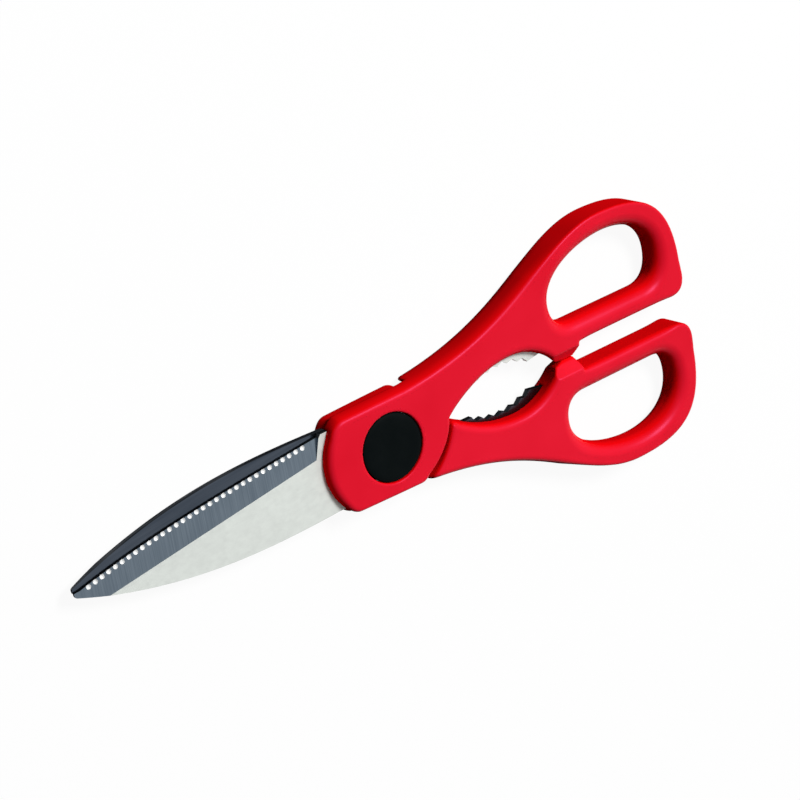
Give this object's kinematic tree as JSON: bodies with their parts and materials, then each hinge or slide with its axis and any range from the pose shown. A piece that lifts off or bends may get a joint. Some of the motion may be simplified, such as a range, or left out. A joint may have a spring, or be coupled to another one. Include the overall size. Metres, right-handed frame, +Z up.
{
  "type": "household shears",
  "caption": "Household shears with bevelled steel blades, one edge serrated, a toothed nutcracker jaw behind the pivot and moulded loop handles under a round pivot cap.",
  "frame": {"origin": "where the pivot axis meets the plane that the tool lies on", "axes": "+X along the tool from the tips to the finger loops, +Z up out of the front face along the pivot axis, +Y towards the front handle's loop"},
  "size_m": [0.2164, 0.0796, 0.0102],
  "materials": {
    "blade_steel": "satin, ground bevel",
    "red_plastic": "semi-gloss",
    "black_plastic": "satin",
    "plated_steel": "zinc plated"
  },
  "bodies": {
    "rear_half": {"rear_blade": "blade_steel", "rear_handle": "red_plastic", "rear_cap": "black_plastic", "pivot_screw": "plated_steel", "pivot_nut": "plated_steel", "head_washer": "plated_steel", "spring_washer": "plated_steel"},
    "front_half": {"front_blade": "blade_steel", "front_handle": "red_plastic", "front_cap": "black_plastic"}
  },
  "joints": [
    {"name": "blade_pivot", "type": "hinge", "parent": "rear_half", "child": "front_half", "pos_m": [0, 0, 0], "axis": [0, 0, 1], "range_deg": [0, 70]}
  ]
}
